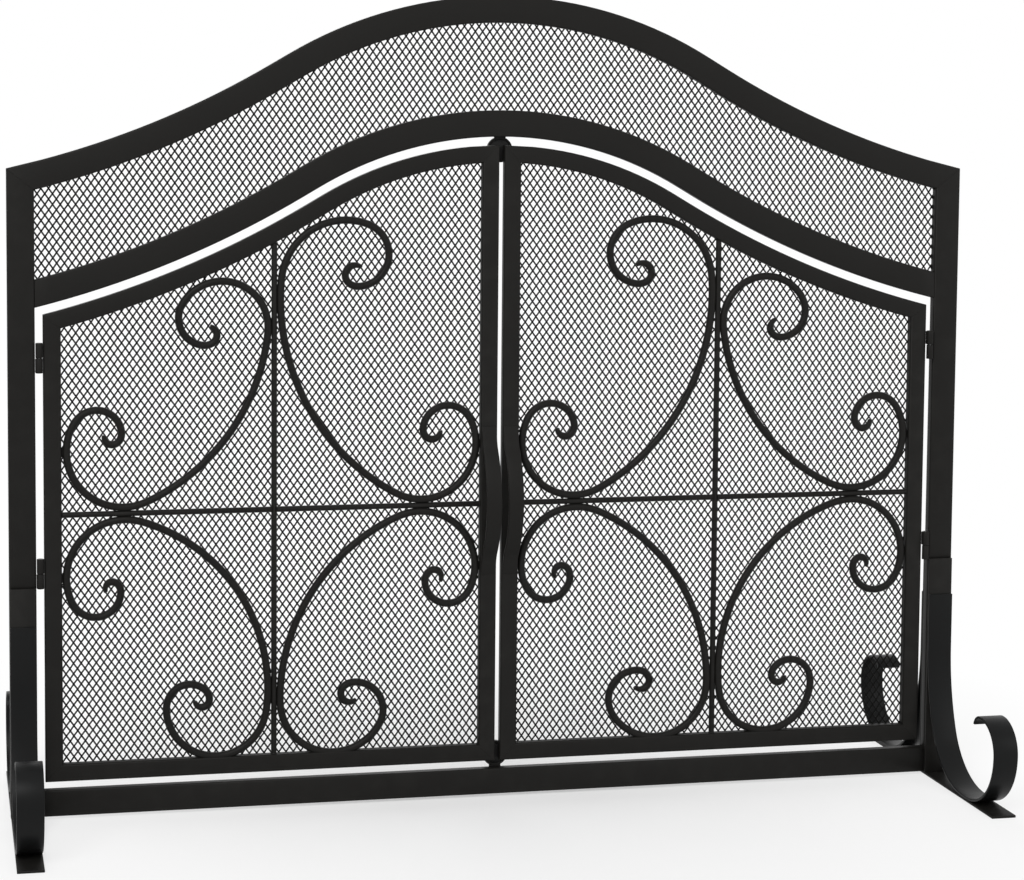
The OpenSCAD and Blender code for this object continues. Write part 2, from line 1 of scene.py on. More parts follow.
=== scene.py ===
"""Looks of a free-standing fireplace safety gate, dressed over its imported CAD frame.

+X runs to the viewer's right, +Y into the hearth and +Z up. Lengths are in millimetres up to the
point where a mesh is made, and in metres in Blender. A value that part.scad has too bears its name.
"""
import math

import bmesh
import bpy
from mathutils import Matrix, Vector


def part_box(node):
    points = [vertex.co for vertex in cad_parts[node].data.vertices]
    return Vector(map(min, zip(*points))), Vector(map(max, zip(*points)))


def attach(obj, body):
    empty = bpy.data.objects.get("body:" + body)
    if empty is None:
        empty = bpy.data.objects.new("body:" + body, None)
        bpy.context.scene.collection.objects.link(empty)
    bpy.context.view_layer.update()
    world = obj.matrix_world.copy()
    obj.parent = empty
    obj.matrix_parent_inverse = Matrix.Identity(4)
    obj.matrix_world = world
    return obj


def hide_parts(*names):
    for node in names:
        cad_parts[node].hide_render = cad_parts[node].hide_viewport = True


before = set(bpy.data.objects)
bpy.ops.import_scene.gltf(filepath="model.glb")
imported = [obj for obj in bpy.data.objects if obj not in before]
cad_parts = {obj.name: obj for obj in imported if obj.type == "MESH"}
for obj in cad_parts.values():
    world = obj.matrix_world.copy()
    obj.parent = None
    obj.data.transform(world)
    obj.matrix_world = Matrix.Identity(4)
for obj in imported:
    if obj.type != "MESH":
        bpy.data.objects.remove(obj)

MM = 0.001
X, Y, Z = 0, 1, 2
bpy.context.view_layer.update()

# Outer frame
FRAME_W = 965
FRAME_H = 798
TUBE_FACE = 26
TUBE_DEPTH = 10
TUBE_ROUND = 1.8
MITRE_ROUND = 0.12

# Arch edges
CROWN_ANGLE = math.radians(30.3)
CROWN_R = 415
SLOPE_LEN = 26
SHOULDER_R = 882
ARCH_DROP = 111.5
LOWER_CROWN_R = 385
LOWER_SLOPE_LEN = 20
LOWER_SHOULDER_R = 946
CROWN_RINGS = 18
SHOULDER_STEP = math.radians(0.9)
JOINT_ROOM = 1.0

# Doors
DOOR_FACE = 17
SIDE_GAP = 7.5
CENTRE_GAP = 5.2
SILL_GAP = 8
HEAD_GAP = 8.4
CATCH_GAP = 0.4

# Ornament bars. The coats are what the photograph's bars measure beyond the solids, per side. SAG is how
# far a chord may leave its arc, and EASE how far a change of bend is spread each way.
SCROLL_D = 7
BAR_D = 5
BAR_Z = 296.5
BAR_FORWARD = 0.9
WELD_GAP = 0.1
BAR_SIDES = 16
SCROLL_SIDES = 18
ROD_END = 0.3
SCROLL_END = 1.0
SCROLL_COAT = 0.15
BAR_COAT = 0.3
SAG = 0.02
EASE = 9.0
EASE_STEP = 0.5
TIP_TAPER = 12.0
TIP_SHARE = 0.55

# Welds. The collar lists (beyond the bar's surface, along the bar).
BEAD_R = 2.0
BEAD_LEN = 9.0
BEAD_STEP = 15
BEAD_SIDES = 12
BEAD_FORWARD = 1.1
COLLAR = ((1.3, 0), (0.8, 0.35), (0.35, 0.9), (0.1, 1.7), (-0.5, 1.8))
COLLAR_SIDES = 20
COLLAR_SINK = 0.3
COLLAR_LIFT = 0.6

# Woven wire
WIRE_D = 1.6
WIRE_SIDES = 6
WEAVE_W = 7.3
WEAVE_H = 10.2
CRIMP = 0.4
MESH_T = 1.5
MESH_INSET = 0.8
WIRE_TUCK = 1.2

# Handles
HANDLE_Z = 300
HANDLE_W = 15
HANDLE_T = 3
HANDLE_BOW_R = 82
HANDLE_END_R = 30
HANDLE_TURN = 37.4
HANDLE_PAD = 6
HANDLE_TAPER = 9.0
HANDLE_TIP = 0.2
HANDLE_ROUND = 1.0
HANDLE_END = 0.6

# Hinges
BARREL_D = 6.9
PIN_D = 3
PIN_PLAY = 0.05
BARREL_H = 29
BARREL_SPLIT = 0.3
BARREL_CAP = 2
HINGE_FORWARD = 1
BARREL_ROUND = 0.5
BARREL_EASE = 0.15
BARREL_SIDES = 36
WEB_INSET = 0.4
WEB_ROUND = 0.5

# Feet. The dome lists (share of the head's radius, height).
FOOT_W = 25
FOOT_T = 2.5
FOOT_ROUND = 0.7
FOOT_END = 0.6
FLAT_ROUND = 0.6
STRIP_TOP = 190
LEAVE_R = 220
LEAVE_TURN = 22
SOLE_R = 76
SOLE_LEN = 9
RING_R = 58.5
HOOK_R = 32
HOOK_TURN = 95
TIP_R = 14
TIP_TURN = 70
LOW_SCREW_Z = 148
SCREW_PITCH = 28
SCREW_HEAD_D = 9
SCREW_HEAD_H = 2.6
SCREW_HEX = 3.0
SCREW_HEX_DEEP = 1.6
HEXAGON = 6
SCREW_DOME = ((1, 0), (1, 0.5), (0.94, 1.2), (0.78, 2.0), (0.55, SCREW_HEAD_H))

# Catches. The shoulder lists (in from the cup's side, down from its top), the rims (in, up) and
# the dome (share of the head's radius, height).
CUP_D = 25.4
CUP_H = 6
MAGNET_D = 20
MAGNET_H = 4.5
TAB_W = 12
TAB_T = 2
TAB_LEN = 20
RIVET_HEAD_D = 6.4
RIVET_HEAD_H = 1.4
RIVET_DOME = ((1, 0), (1, 0.25), (0.9, 0.7), (0.65, 1.1), (0.35, 1.32), (0.1, RIVET_HEAD_H))
RIVET_SIDES = 28
CUP_SHOULDER = ((1.6, 0), (0.6, 0.25), (0.15, 0.8), (0, 1.6))
CUP_RIM = ((0, 0.4), (0.3, 0))
CUP_MOUTH = 0.3
CUP_SIDES = 56
MAGNET_RIM = ((0.5, 0), (0.1, 0.15), (0, 0.6))
MAGNET_SIDES = 48
MAGNET_PLAY = 0.05
TAB_OVERLAP = 1.2
TAB_ROUND = 0.6

# Mesh fineness
CORNER_STEPS = 4
BLOCK_STEPS = 3
BLOCK_EASE = 0.3
END_ANGLES = (90, 60, 30, 0)
LATHE_SIDES = 40
HALVINGS = 7
SHARP_FROM = math.radians(50)

# Surface finish. Scales are per metre, and a span is the part of a noise that is stretched to 0 to 1.
CLOUD_SCALE = 14
CLOUD_SPAN = (0.35, 0.65)
PATCH_SCALE = 60
PATCH_SPAN = (0.45, 0.7)
RUBBED_MOST = 0.2
EDGE_SPAN = (0.53, 0.60)
GLOSS_SCALE = 45
GLOSS_DETAIL = 4
GLOSS_SPAN = (0.3, 0.7)
GRAIN_DETAIL = 2
GRAIN_DEPTH = 0.0003
MIX_FACTOR, MIX_A, MIX_B = 0, 6, 7
MIX_RESULT = 2

# Floor and light, in metres. The lamps list (name, place, width, watts).
FLOOR_SIZE = 14.0
FLOOR_GREY = 0.96
FLOOR_LIGHTEST = 1.02
FLOOR_ROUGHNESS = 0.9
FLOOR_CLOUD_SCALE = 3
FLOOR_CLOUD_SPAN = (0.3, 0.7)
FADE_FROM = 0.1
FADE_TO = 0.8
FADE_LEAST = 0.35
WORLD_ON_OBJECT = 0.55
LAMPS = (
    ("key", (-1.6, -2.6, 2.6), 2.4, 70),
    ("fill", (2.6, -2.2, 1.4), 2.0, 14),
    ("back", (0.4, 2.6, 2.2), 2.2, 30),
)

# Camera, as solved from the photograph's straight edges
IMAGE_W = 1024
IMAGE_H = 880
SENSOR_W = 36
FOCAL_PX = 2252.9
PRINCIPAL = (358, 286)
CAMERA_PLACE = (-0.5457, -2.1597, 0.6739)
CAMERA_YAW = math.radians(10.562)
CAMERA_PITCH = math.radians(-4.151)
CAMERA_ROLL = math.radians(0.22)

# Left door's scrolls as (radius, turn) arcs from the upper curl, and the heading at its tip
SCROLLS = {
    "upper_outer": (-15, ((9, 159), (27, 127), (45.5, 154), (204, 60),
                          (55.5, 145), (24.5, 155), (8, 181))),
    "upper_inner": (39, ((10, 211), (31.5, 165), (64, 108), (223.5, 66),
                         (55, 146), (25.5, 153), (8.5, 183))),
    "lower_outer": (122, ((6.5, 197), (24, 166), (55.5, 136), (176.5, 79),
                          (49, 175), (22, 154), (7, 200))),
    "lower_inner": (125, ((7.5, 201), (23.5, 168), (55.5, 138), (192.5, 67),
                          (53, 147), (28.5, 138), (9, 210))),
}

half_w = FRAME_W / 2
stile_in = half_w - TUBE_FACE
front_y = -TUBE_DEPTH / 2
rear_y = TUBE_DEPTH / 2
mesh_y = rear_y - MESH_INSET - MESH_T / 2
rail_top = FOOT_T + TUBE_FACE
door_out = stile_in - SIDE_GAP
door_in = CENTRE_GAP / 2
door_sill = rail_top + SILL_GAP
door_depth = TUBE_DEPTH - CATCH_GAP
bay_left = -door_out + DOOR_FACE
bay_right = -door_in - DOOR_FACE
bay_low = door_sill + DOOR_FACE
bar_x = -(door_out + door_in) / 2
bar_y = -BAR_FORWARD
touch = SCROLL_D / 2 + WELD_GAP
bar_side = BAR_D / 2 + touch
hinge_x = stile_in - SIDE_GAP / 2
hinge_y = front_y - HINGE_FORWARD
barrel_half = (BARREL_H - BARREL_SPLIT) / 2
barrels_low, barrels_high = (corner[Z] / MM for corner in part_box("left_frame_hinge_barrels"))
hinge_zs = (barrels_low, barrels_high - barrel_half)
foot_x = half_w - TUBE_FACE / 2
plate_y = front_y - FOOT_T
strip_y = plate_y - FOOT_T
screw_zs = (LOW_SCREW_Z, LOW_SCREW_Z + SCREW_PITCH)


class Edge:
    """One long edge of an arch: a crown arc, a straight slope and a sagging shoulder."""

    def __init__(self, apex, crown_r, slope_len, shoulder_r):
        self.apex = apex
        self.crown_r = crown_r
        self.slope_len = slope_len
        self.shoulder_r = shoulder_r
        self.crown_x = crown_r * math.sin(CROWN_ANGLE)
        self.crown_z = apex - crown_r * (1 - math.cos(CROWN_ANGLE))
        self.shoulder_x = self.crown_x + slope_len * math.cos(CROWN_ANGLE)
        self.shoulder_z = self.crown_z - slope_len * math.sin(CROWN_ANGLE)
        self.centre_x = self.shoulder_x + shoulder_r * math.sin(CROWN_ANGLE)
        self.centre_z = self.shoulder_z + shoulder_r * math.cos(CROWN_ANGLE)

    def inset(self, d):
        """The parallel edge at distance d below this one."""
        return Edge(self.apex - d, self.crown_r - d, self.slope_len, self.shoulder_r + d)

    def on_crown(self, a):
        """The point of the crown at angle a from the apex."""
        return (self.crown_r * math.sin(a), self.apex - self.crown_r * (1 - math.cos(a)))

    def on_shoulder(self, a):
        """The point of the right shoulder where the edge falls at angle a."""
        r = self.shoulder_r
        return (self.centre_x - r * math.sin(a), self.centre_z - r * math.cos(a))

    def z(self, x):
        """The edge's height at x."""
        x = abs(x)
        if x <= self.crown_x:
            return self.apex - self.crown_r + math.sqrt(self.crown_r ** 2 - x ** 2)
        if x <= self.shoulder_x:
            return self.crown_z - (x - self.crown_x) * math.tan(CROWN_ANGLE)
        return self.centre_z - math.sqrt(self.shoulder_r ** 2 - (x - self.centre_x) ** 2)


top_edge = Edge(FRAME_H, CROWN_R, SLOPE_LEN, SHOULDER_R)
lower_edge = Edge(FRAME_H - ARCH_DROP, LOWER_CROWN_R, LOWER_SLOPE_LEN, LOWER_SHOULDER_R)
door_edge = lower_edge.inset(TUBE_FACE + HEAD_GAP)
door_inner_edge = door_edge.inset(DOOR_FACE)
upper_cup_z = lower_edge.inset(TUBE_FACE).apex - CUP_D / 2
lower_cup_z = rail_top + CUP_D / 2


def loft(rings):
    """A closed skin over rings of points, as (points, faces)."""
    n = len(rings[0])
    points = [p for ring in rings for p in ring]
    faces = [tuple(range(n))[::-1]]
    for i in range(len(rings) - 1):
        a, b = i * n, (i + 1) * n
        faces += [(a + k, a + (k + 1) % n, b + (k + 1) % n, b + k) for k in range(n)]
    faces.append(tuple(range(len(points) - n, len(points))))
    return points, faces


def rounded(w, d, r, steps=CORNER_STEPS):
    """A rectangle w by d round the origin with corners of radius r."""
    corners = ((1, 1, 0), (-1, 1, 90), (-1, -1, 180), (1, -1, 270))
    out = []
    for sx, sy, start in corners:
        for k in range(steps + 1):
            a = math.radians(start + 90 * k / steps)
            out.append((sx * (w / 2 - r) + r * math.cos(a), sy * (d / 2 - r) + r * math.sin(a)))
    return out


def circle(d, sides):
    """A polygon of so many sides on a circle round the origin."""
    turns = [math.tau * k / sides for k in range(sides)]
    return [(d / 2 * math.cos(a), d / 2 * math.sin(a)) for a in turns]


def bend_line(path, start):
    """Points (x, y, heading) along a path of (radius, turn in degrees); radius 0 is a straight."""
    line = [start]
    for radius, amount in path:
        x, y, h = line[-1]
        if radius == 0:
            line.append((x + amount * math.cos(h), y + amount * math.sin(h), h))
            continue
        turn = math.copysign(math.radians(amount), radius)
        steps = math.ceil(abs(turn) / math.sqrt(8 * SAG / abs(radius)))
        for i in range(1, steps + 1):
            g = h + turn * i / steps
            ahead, aside = math.sin(g) - math.sin(h), math.cos(g) - math.cos(h)
            line.append((x + radius * ahead, y - radius * aside, g))
    return line


def eased_line(path, start):
    """Points along a path of arcs whose curvature changes gradually from one arc to the next."""
    bends = []
    for radius, amount in path:
        bends += [1 / radius] * round(abs(radius) * math.radians(amount) / EASE_STEP)
    totals = [0]
    for bend in bends:
        totals.append(totals[-1] + bend)
    reach = round(EASE / EASE_STEP)
    line = [start]
    x, y, h = start
    run = turned = 0
    for i in range(len(bends)):
        low, high = max(0, i - reach), min(len(bends), i + reach + 1)
        turn = (totals[high] - totals[low]) / (high - low) * EASE_STEP
        x += EASE_STEP * math.cos(h + turn / 2)
        y += EASE_STEP * math.sin(h + turn / 2)
        h += turn
        run += EASE_STEP
        turned += abs(turn)
        if run * turned / 8 >= SAG or i == len(bends) - 1:
            line.append((x, y, h))
            run = turned = 0
    return line


def sweep(line, section, place, end, taper=0.0, tip=1.0):
    """A bar bent along a line. place turns (x, y, width) into a point, and end rounds its ends.

    Over the taper's length it thins down to the share tip of its size."""
    thick = max(s for s, w in section)
    wide = max(w for s, w in section)
    ends = []
    for angle in END_ANGLES:
        a = math.radians(angle)
        ends.append((end * (1 - math.sin(a)), end * (1 - math.cos(a))))
    x, y, h = line[0]
    stations = [(x + ahead * math.cos(h), y + ahead * math.sin(h), h, less) for ahead, less in ends]
    stations += [(x, y, h, 0) for x, y, h in line[1:-1]]
    x, y, h = line[-1]
    stations += [(x - ahead * math.cos(h), y - ahead * math.sin(h), h, less) for ahead, less in ends[::-1]]
    runs = [0]
    for a, b in zip(stations, stations[1:]):
        runs.append(runs[-1] + math.dist(a[:2], b[:2]))
    rings = []
    for (x, y, h, less), run in zip(stations, runs):
        if taper:
            less += (thick - less) * (1 - tip) * max(0, 1 - min(run, runs[-1] - run) / taper)
        ks, kw = 1 - less / thick, 1 - less / wide
        across, along = ks * math.cos(h), ks * math.sin(h)
        rings.append([place(x - s * along, y + s * across, w * kw) for s, w in section])
    return loft(rings)


def tube(stations, depth, face):
    """A rectangular tube through stations of (upper or outer point, lower or inner point) in XZ."""
    section = rounded(face, depth, TUBE_ROUND)

    def ring(station, less):
        (ox, oz), (ix, iz) = station
        out = []
        for u, v in section:
            t = 0.5 + u / face * (1 - 2 * less / face)
            y = front_y + depth / 2 + v * (1 - 2 * less / depth)
            out.append((ox + (ix - ox) * t, y, oz + (iz - oz) * t))
        return out

    def shifted(a, b):
        """Station a, moved towards station b by the mitre's rounding."""
        moved = []
        for (ax, az), (bx, bz) in zip(a, b):
            k = MITRE_ROUND / math.hypot(bx - ax, bz - az)
            moved.append((ax + (bx - ax) * k, az + (bz - az) * k))
        return moved

    first, last = shifted(stations[0], stations[1]), shifted(stations[-1], stations[-2])
    rings = [ring(stations[0], MITRE_ROUND), ring(first, 0)]
    rings += [ring(s, 0) for s in stations[1:-1]]
    rings += [ring(last, 0), ring(stations[-1], MITRE_ROUND)]
    return loft(rings)


def block(lo, hi, r, axis=Z):
    """A bar from lo to hi with rounded edges, which runs along the axis."""
    u, v = [k for k in (X, Y, Z) if k != axis]
    size = (hi[u] - lo[u], hi[v] - lo[v])
    section = rounded(*size, r, BLOCK_STEPS)
    near = r * BLOCK_EASE
    stations = ((lo[axis], r), (lo[axis] + near, near), (lo[axis] + r, 0),
                (hi[axis] - r, 0), (hi[axis] - near, near), (hi[axis], r))
    rings = []
    for at, less in stations:
        ring = []
        for a, b in section:
            p = [0, 0, 0]
            p[u] = (lo[u] + hi[u]) / 2 + a * (1 - 2 * less / size[0])
            p[v] = (lo[v] + hi[v]) / 2 + b * (1 - 2 * less / size[1])
            p[axis] = at
            ring.append(tuple(p))
        rings.append(ring)
    return loft(rings)


def lathe(profile, base, axis, sides=LATHE_SIDES):
    """A turned piece. profile lists (radius, height) along the axis, and a third entry makes that
    ring a polygon of so many corners."""
    u, v = [k for k in (X, Y, Z) if k != axis]
    rings = []
    for radius, height, *corners in profile:
        ring = []
        for k in range(sides):
            a = math.tau * k / sides
            r = radius
            if corners:
                wedge = math.tau / corners[0]
                r = radius / math.cos((a % wedge) - wedge / 2)
            p = [0, 0, 0]
            p[u] = base[u] + r * math.cos(a)
            p[v] = base[v] + r * math.sin(a)
            p[axis] = base[axis] + height
            ring.append(tuple(p))
        rings.append(ring)
    return loft(rings)


def mirrored(part, flip):
    """The part, or its mirror image across the middle of the gate."""
    points, faces = part
    return ([(-x, y, z) for x, y, z in points] if flip else points, faces)


def reversed_y(part):
    """The part's mirror image front to rear."""
    points, faces = part
    return [(x, -y, z) for x, y, z in points], faces


def piece(name, parts, body, slot, material, *nodes):
    """One object from several closed skins. It rides on the body and stands for the nodes."""
    points, faces = [], []
    for part_points, part_faces in parts:
        offset = len(points)
        points += [(x * MM, y * MM, z * MM) for x, y, z in part_points]
        faces += [tuple(offset + k for k in face) for face in part_faces]
    mesh = bpy.data.meshes.new(name)
    mesh.from_pydata(points, [], faces)
    bm = bmesh.new()
    bm.from_mesh(mesh)
    bmesh.ops.recalc_face_normals(bm, faces=bm.faces)
    bm.to_mesh(mesh)
    bm.free()
    mesh.shade_smooth()
    mesh.set_sharp_from_angle(angle=SHARP_FROM)
    obj = bpy.data.objects.new(name, mesh)
    bpy.context.scene.collection.objects.link(obj)
    mesh.materials.append(material)
    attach(obj, body)
    if nodes:
        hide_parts(*nodes)


def half_arch(edge, face, near, far):
    """Stations along half an arch tube. near and far are the (upper x, lower x) of the joints at its ends."""
    low = edge.inset(face)
    rows = []
    for i in range(CROWN_RINGS + 1):
        a = CROWN_ANGLE * i / CROWN_RINGS
        rows.append((edge.on_crown(a), low.on_crown(a)))
    for i in range(math.ceil(CROWN_ANGLE / SHOULDER_STEP)):
        a = CROWN_ANGLE - i * SHOULDER_STEP
        rows.append((edge.on_shoulder(a), low.on_shoulder(a)))
    kept = [row for row in rows
            if near[0] + JOINT_ROOM < row[0][0] < far[0] - JOINT_ROOM
            and near[1] + JOINT_ROOM < row[1][0] < far[1] - JOINT_ROOM]
    ends = [((xs[0], edge.z(xs[0])), (xs[1], low.z(xs[1]))) for xs in (near, far)]
    return [ends[0]] + kept + [ends[1]]


def whole_arch(edge, face, far):
    """Stations along a whole arch tube, from the left end to the right."""
    right = half_arch(edge, face, (0, 0), far)
    left = [((-a[0], a[1]), (-b[0], b[1])) for a, b in right[:0:-1]]
    return left + right


def woven_wires(inside, x_a, x_b, z_a, z_b):
    """Two crossing families of crimped wires over the box, kept where inside(x, z) holds."""
    slope = math.hypot(WEAVE_W, WEAVE_H)
    section = circle(WIRE_D, WIRE_SIDES)
    wires = []
    for lean in (1, -1):
        dx, dz = lean * WEAVE_W / 2, WEAVE_H / 2
        count = int((x_b - x_a) / WEAVE_W + (z_b - z_a) / WEAVE_H) + 2
        rows = int((z_b - z_a) / dz) + 2
        origin = x_a - (z_b - z_a) * WEAVE_W / WEAVE_H if lean > 0 else x_a
        origin = x_a + math.floor((origin - x_a) / WEAVE_W) * WEAVE_W
        for i in range(count + 1):
            x0 = origin + i * WEAVE_W
            run = []
            for j in range(rows + 1):
                x, z = x0 + j * dx, z_a + j * dz
                side = 1 if j % 2 else -1
                y = mesh_y + lean * side * CRIMP
                if inside(x, z):
                    if not run and j:
                        run.append(edge_crossing(inside, (x, z), (x - dx, z - dz)) + (mesh_y,))
                    run.append((x, z, y))
                elif run:
                    last = run[-1]
                    run.append(edge_crossing(inside, last[:2], (x, z)) + (mesh_y,))
                    wires.append((run, lean))
                    run = []
            if len(run) > 1:
                wires.append((run, lean))
    points, faces = [], []
    for run, lean in wires:
        nx, nz = WEAVE_H / slope, -lean * WEAVE_W / slope
        rings = [[(x + a * nx, y + b, z + a * nz) for a, b in section] for x, z, y in run]
        offset = len(points)
        part_points, part_faces = loft(rings)
        points += part_points
        faces += [tuple(offset + k for k in face) for face in part_faces]
    return points, faces


def edge_crossing(inside, kept, lost):
    """The point between a kept and a lost point where inside stops holding."""
    for _ in range(HALVINGS):
        mid = ((kept[0] + lost[0]) / 2, (kept[1] + lost[1]) / 2)
        if inside(*mid):
            kept = mid
        else:
            lost = mid
    return kept


def start_at(x, z, heading=0):
    """The start of a bent line, with its heading in degrees."""
    return (x, z, math.radians(heading))


def in_door(x, z, w):
    """Places a drawing of the door's ornament in the plane of its bars."""
    return (x, bar_y + w, z)


def bead(place, axis):
    """A small weld bead, longest along the axis."""
    turns = [math.radians(a) for a in range(BEAD_STEP, 180, BEAD_STEP)]
    profile = [(BEAD_R * math.sin(a), -BEAD_LEN / 2 * math.cos(a)) for a in turns]
    return lathe(profile, place, axis, BEAD_SIDES)


def collar(x, z, axis, way):
    """The weld fillet round a straight bar's end. It thins up or down the axis, as way is 1 or -1."""
    profile = [(BAR_D / 2 + beyond, along * way) for beyond, along in COLLAR]
    return lathe(profile, (x, bar_y, z), axis, COLLAR_SIDES)


def noise(nodes, links, coords, scale, detail=3.0):
    """Smooth noise at the coordinates, from 0 to 1."""
    node = nodes.new("ShaderNodeTexNoise")
    node.inputs["Scale"].default_value = scale
    node.inputs["Detail"].default_value = detail
    links.new(coords, node.inputs["Vector"])
    return node.outputs["Fac"]


def ranged(nodes, links, value, from_lo, from_hi, to_lo, to_hi):
    """The value, stretched from one range to another and held to it."""
    node = nodes.new("ShaderNodeMapRange")
    for key, number in zip(("From Min", "From Max", "To Min", "To Max"), (from_lo, from_hi, to_lo, to_hi)):
        node.inputs[key].default_value = number
    links.new(value, node.inputs["Value"])
    return node.outputs["Result"]


def mixed(nodes, links, factor, a, b):
    """Colour a where the factor is 0 and colour b where it is 1."""
    node = nodes.new("ShaderNodeMix")
    node.data_type = "RGBA"
    links.new(factor, node.inputs[MIX_FACTOR])
    for socket, colour in ((node.inputs[MIX_A], a), (node.inputs[MIX_B], b)):
        if isinstance(colour, tuple):
            socket.default_value = (*colour, 1)
        else:
            links.new(colour, socket)
    return node.outputs[MIX_RESULT]


def finish(name, dark, light, worn, roughness, grain, bump, specular, metallic=0.0, stretch=(1, 1, 1)):
    """A surface with cloudy colour, fine grain, uneven gloss and slightly rubbed edges."""
    material = bpy.data.materials.new(name)
    material.use_nodes = True
    nodes, links = material.node_tree.nodes, material.node_tree.links
    shader = nodes["Principled BSDF"]
    shader.inputs["Metallic"].default_value = metallic
    shader.inputs["Specular IOR Level"].default_value = specular
    coords = nodes.new("ShaderNodeTexCoord").outputs["Object"]
    mapping = nodes.new("ShaderNodeMapping")
    mapping.inputs["Scale"].default_value = stretch
    links.new(coords, mapping.inputs["Vector"])
    grained = mapping.outputs["Vector"]
    cloud = ranged(nodes, links, noise(nodes, links, coords, CLOUD_SCALE), *CLOUD_SPAN, 0, 1)
    base = mixed(nodes, links, cloud, dark, light)
    pointed = nodes.new("ShaderNodeNewGeometry").outputs["Pointiness"]
    edge = ranged(nodes, links, pointed, *EDGE_SPAN, 0, 1)
    patch = ranged(nodes, links, noise(nodes, links, coords, PATCH_SCALE), *PATCH_SPAN, 0, RUBBED_MOST)
    rubbed = nodes.new("ShaderNodeMath")
    rubbed.operation = "MULTIPLY"
    links.new(edge, rubbed.inputs[0])
    links.new(patch, rubbed.inputs[1])
    links.new(mixed(nodes, links, rubbed.outputs[0], base, worn), shader.inputs["Base Color"])
    gloss = noise(nodes, links, grained, GLOSS_SCALE, GLOSS_DETAIL)
    links.new(ranged(nodes, links, gloss, *GLOSS_SPAN, *roughness), shader.inputs["Roughness"])
    raised = nodes.new("ShaderNodeBump")
    raised.inputs["Strength"].default_value = bump
    raised.inputs["Distance"].default_value = GRAIN_DEPTH
    links.new(noise(nodes, links, grained, grain, GRAIN_DETAIL), raised.inputs["Height"])
    links.new(raised.outputs["Normal"], shader.inputs["Normal"])
    return material


coat = finish(
    "powder_coat", dark=(0.0092, 0.0087, 0.0079), light=(0.0100, 0.0095, 0.0086),
    worn=(0.026, 0.025, 0.023), roughness=(0.45, 0.49), grain=900, bump=0.25, specular=0.12)
bar_coat = finish(
    "bar_coat", dark=(0.0076, 0.0072, 0.0065), light=(0.0096, 0.0091, 0.0082),
    worn=(0.026, 0.025, 0.023), roughness=(0.42, 0.49), grain=700, bump=0.3, specular=0.12)
# The foot strips' coat, also used on the screw and rivet heads. It is the same black powder coat, painted
# darker as shade and a little bluish as a painted reflection of cool light from above.
painted_shade_and_sheen_coat = finish(
    "painted_shade_and_sheen_coat", dark=(0.0062, 0.0064, 0.0064), light=(0.0070, 0.0073, 0.0074),
    worn=(0.024, 0.024, 0.024), roughness=(0.33, 0.38), grain=800, bump=0.15, specular=0.11)
wire_coat = finish(
    "wire_coat", dark=(0.0030, 0.0029, 0.0026), light=(0.0046, 0.0044, 0.0040),
    worn=(0.009, 0.009, 0.008), roughness=(0.45, 0.60), grain=1500, bump=0.3, specular=0.06)
pin_steel = finish(
    "pin_steel", dark=(0.42, 0.42, 0.43), light=(0.55, 0.55, 0.56), worn=(0.7, 0.7, 0.7),
    roughness=(0.22, 0.38), grain=900, bump=0.2, specular=0.5, metallic=1.0, stretch=(1, 1, 12))
ferrite = finish(
    "ferrite", dark=(0.0090, 0.0090, 0.0088), light=(0.0130, 0.0128, 0.0124),
    worn=(0.040, 0.040, 0.039), roughness=(0.38, 0.52), grain=600, bump=0.35, specular=0.16)


def door_tubes(door, flip):
    """The door's four mitred tubes."""
    outer_low, inner_low = (-door_out, door_sill), (bay_left, bay_low)
    near_low, near_in = (-door_in, door_sill), (bay_right, bay_low)
    outer_high = ((-door_out, door_edge.z(door_out)), (bay_left, door_inner_edge.z(bay_left)))
    near_high = ((-door_in, door_edge.z(door_in)), (bay_right, door_inner_edge.z(bay_right)))
    arch = half_arch(door_edge, DOOR_FACE, (door_in, -bay_right), (door_out, -bay_left))
    tubes = {
        "outer": ("outer_stile", [(outer_low, inner_low), outer_high]),
        "inner": ("inner_stile", [(near_low, near_in), near_high]),
        "bottom": ("bottom_rail", [(outer_low, inner_low), (near_low, near_in)]),
        "top": ("top_rail", [((-a[0], a[1]), (-b[0], b[1])) for a, b in arch]),
    }
    for name, (node, stations) in tubes.items():
        part = tube(stations, door_depth, DOOR_FACE)
        piece(f"{door}_{name}_tube", [mirrored(part, flip)], door, "door_tube", coat, f"{door}_{node}")


def door_bars(door, flip):
    """The door's straight bars and scrolls, with the welds that join them."""
    rod = circle(BAR_D + 2 * BAR_COAT, BAR_SIDES)
    top = door_inner_edge.z(bar_x)
    rise = [(0, top - bay_low - 2 * WELD_GAP)]
    upright = sweep(bend_line(rise, start_at(bar_x, bay_low + WELD_GAP, 90)), rod, in_door, ROD_END)
    piece(f"{door}_upright_rod", [mirrored(upright, flip)], door, "straight_bar", bar_coat,
          f"{door}_vertical_bar")
    reach = [(0, bar_x - BAR_D / 2 - bay_left - 2 * WELD_GAP)]
    starts = (bay_left + WELD_GAP, bar_x + BAR_D / 2 + WELD_GAP)
    rods = [sweep(bend_line(reach, start_at(x, BAR_Z)), rod, in_door, ROD_END) for x in starts]
    piece(f"{door}_cross_rods", [mirrored(r, flip) for r in rods], door, "straight_bar", bar_coat,
          f"{door}_horizontal_bar")
    welds = [
        collar(bar_x, bay_low, Z, 1),
        collar(bar_x, top + COLLAR_LIFT, Z, -1),
        collar(bay_left, BAR_Z, X, 1),
        collar(bay_right, BAR_Z, X, -1),
        collar(bar_x - BAR_D / 2 + COLLAR_SINK, BAR_Z, X, -1),
        collar(bar_x + BAR_D / 2 - COLLAR_SINK, BAR_Z, X, 1),
    ]
    for name in SCROLLS:
        scroll, beads = scroll_and_beads(name)
        piece(f"{door}_scroll_{name}", [mirrored(scroll, flip)], door, "scroll_bar", bar_coat,
              f"{door}_scroll_{name}")
        welds += beads
    piece(f"{door}_welds", [mirrored(w, flip) for w in welds], door, "scroll_bar", bar_coat)


